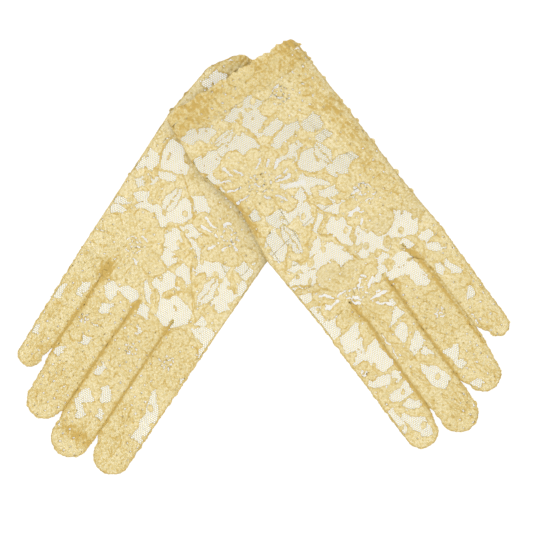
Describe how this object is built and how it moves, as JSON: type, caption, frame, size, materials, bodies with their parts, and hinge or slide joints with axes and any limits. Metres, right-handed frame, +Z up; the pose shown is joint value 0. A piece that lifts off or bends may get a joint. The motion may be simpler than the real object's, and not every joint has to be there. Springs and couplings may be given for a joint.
{
  "type": "lace gloves",
  "caption": "Pair of short floral lace gloves laid flat with crossed, gathered cuffs; fingers fold, tucked thumbs swing out.",
  "frame": {"origin": "on the surface the gloves lie on, under the middle of the pair's bounding box", "axes": "+Z up, out of the backs of the hands; +Y from the fingertips towards the crossed cuffs; +X from the right-hand glove towards the left-hand glove"},
  "size_m": [0.2656, 0.2363, 0.0155],
  "materials": {
    "floral_lace": "soft stretch lace: solid knitted flowers on a fine hexagonal net, light gold cream",
    "cuff_lace": "gathered stretch lace, denser and darker gold cream",
    "seam_lace": "sewn lace edges, doubled and darker gold cream",
    "elastic_thread": "covered elastic thread in a row of stitches"
  },
  "bodies": {
    "right_hand": {"right_back_panel": "floral_lace", "right_palm_panel": "floral_lace", "right_thumb_side_seam": "seam_lace", "right_little_side_seam": "seam_lace", "right_index_middle_gusset": "seam_lace", "right_middle_ring_gusset": "seam_lace", "right_ring_little_gusset": "seam_lace", "right_ruffle_back": "cuff_lace", "right_ruffle_palm": "cuff_lace", "right_elastic_back": "elastic_thread", "right_elastic_palm": "elastic_thread", "right_band_back": "cuff_lace", "right_band_palm": "cuff_lace"},
    "right_thumb": {"right_thumb_palm": "floral_lace", "right_thumb_side_strip": "seam_lace", "right_thumb_back": "floral_lace"},
    "right_index": {"right_index_palm": "floral_lace", "right_index_side_strip": "seam_lace", "right_index_back": "floral_lace"},
    "right_middle": {"right_middle_palm": "floral_lace", "right_middle_side_strip": "seam_lace", "right_middle_back": "floral_lace"},
    "right_ring": {"right_ring_palm": "floral_lace", "right_ring_side_strip": "seam_lace", "right_ring_back": "floral_lace"},
    "right_little": {"right_little_palm": "floral_lace", "right_little_side_strip": "seam_lace", "right_little_back": "floral_lace"},
    "left_hand": {"left_back_panel": "floral_lace", "left_palm_panel": "floral_lace", "left_thumb_side_seam": "seam_lace", "left_little_side_seam": "seam_lace", "left_index_middle_gusset": "seam_lace", "left_middle_ring_gusset": "seam_lace", "left_ring_little_gusset": "seam_lace", "left_ruffle_back": "cuff_lace", "left_ruffle_palm": "cuff_lace", "left_elastic_back": "elastic_thread", "left_elastic_palm": "elastic_thread", "left_band_back": "cuff_lace", "left_band_palm": "cuff_lace"},
    "left_thumb": {"left_thumb_palm": "floral_lace", "left_thumb_side_strip": "seam_lace", "left_thumb_back": "floral_lace"},
    "left_index": {"left_index_palm": "floral_lace", "left_index_side_strip": "seam_lace", "left_index_back": "floral_lace"},
    "left_middle": {"left_middle_palm": "floral_lace", "left_middle_side_strip": "seam_lace", "left_middle_back": "floral_lace"},
    "left_ring": {"left_ring_palm": "floral_lace", "left_ring_side_strip": "seam_lace", "left_ring_back": "floral_lace"},
    "left_little": {"left_little_palm": "floral_lace", "left_little_side_strip": "seam_lace", "left_little_back": "floral_lace"}
  },
  "joints": [
    {"name": "left_glove_lift", "type": "slide", "parent": "right_hand", "child": "left_hand", "axis": [0, 0, 1], "range_m": [0, 0.04]},
    {"name": "right_index_fold", "type": "hinge", "parent": "right_hand", "child": "right_index", "pos_m": [-0.04051, -0.04315, 0.0036], "axis": [-0.8251, 0.565, 0], "range_deg": [0, 90]},
    {"name": "right_middle_fold", "type": "hinge", "parent": "right_hand", "child": "right_middle", "pos_m": [-0.05964, -0.03127, 0.0036], "axis": [-0.8251, 0.565, 0], "range_deg": [0, 90]},
    {"name": "right_ring_fold", "type": "hinge", "parent": "right_hand", "child": "right_ring", "pos_m": [-0.07768, -0.0177, 0.0036], "axis": [-0.8251, 0.565, 0], "range_deg": [0, 90]},
    {"name": "right_little_fold", "type": "hinge", "parent": "right_hand", "child": "right_little", "pos_m": [-0.09097, -0.00012, 0.0036], "axis": [-0.8251, 0.565, 0], "range_deg": [0, 90]},
    {"name": "right_thumb_swing", "type": "hinge", "parent": "right_hand", "child": "right_thumb", "pos_m": [0.00324, 0.0287, 0.0007], "axis": [0, 0, 1], "range_deg": [0, 50]},
    {"name": "left_index_fold", "type": "hinge", "parent": "left_hand", "child": "left_index", "pos_m": [0.03978, -0.03237, 0.0036], "axis": [-0.7976, -0.6032, 0], "range_deg": [0, 90]},
    {"name": "left_middle_fold", "type": "hinge", "parent": "left_hand", "child": "left_middle", "pos_m": [0.05829, -0.02088, 0.0036], "axis": [-0.7976, -0.6032, 0], "range_deg": [0, 90]},
    {"name": "left_ring_fold", "type": "hinge", "parent": "left_hand", "child": "left_ring", "pos_m": [0.073, -0.006, 0.0036], "axis": [-0.7976, -0.6032, 0], "range_deg": [0, 90]},
    {"name": "left_little_fold", "type": "hinge", "parent": "left_hand", "child": "left_little", "pos_m": [0.08535, 0.01149, 0.0036], "axis": [-0.7976, -0.6032, 0], "range_deg": [0, 90]},
    {"name": "left_thumb_swing", "type": "hinge", "parent": "left_hand", "child": "left_thumb", "pos_m": [-0.00584, 0.03343, 0.0086], "axis": [0, 0, -1], "range_deg": [0, 50]}
  ]
}
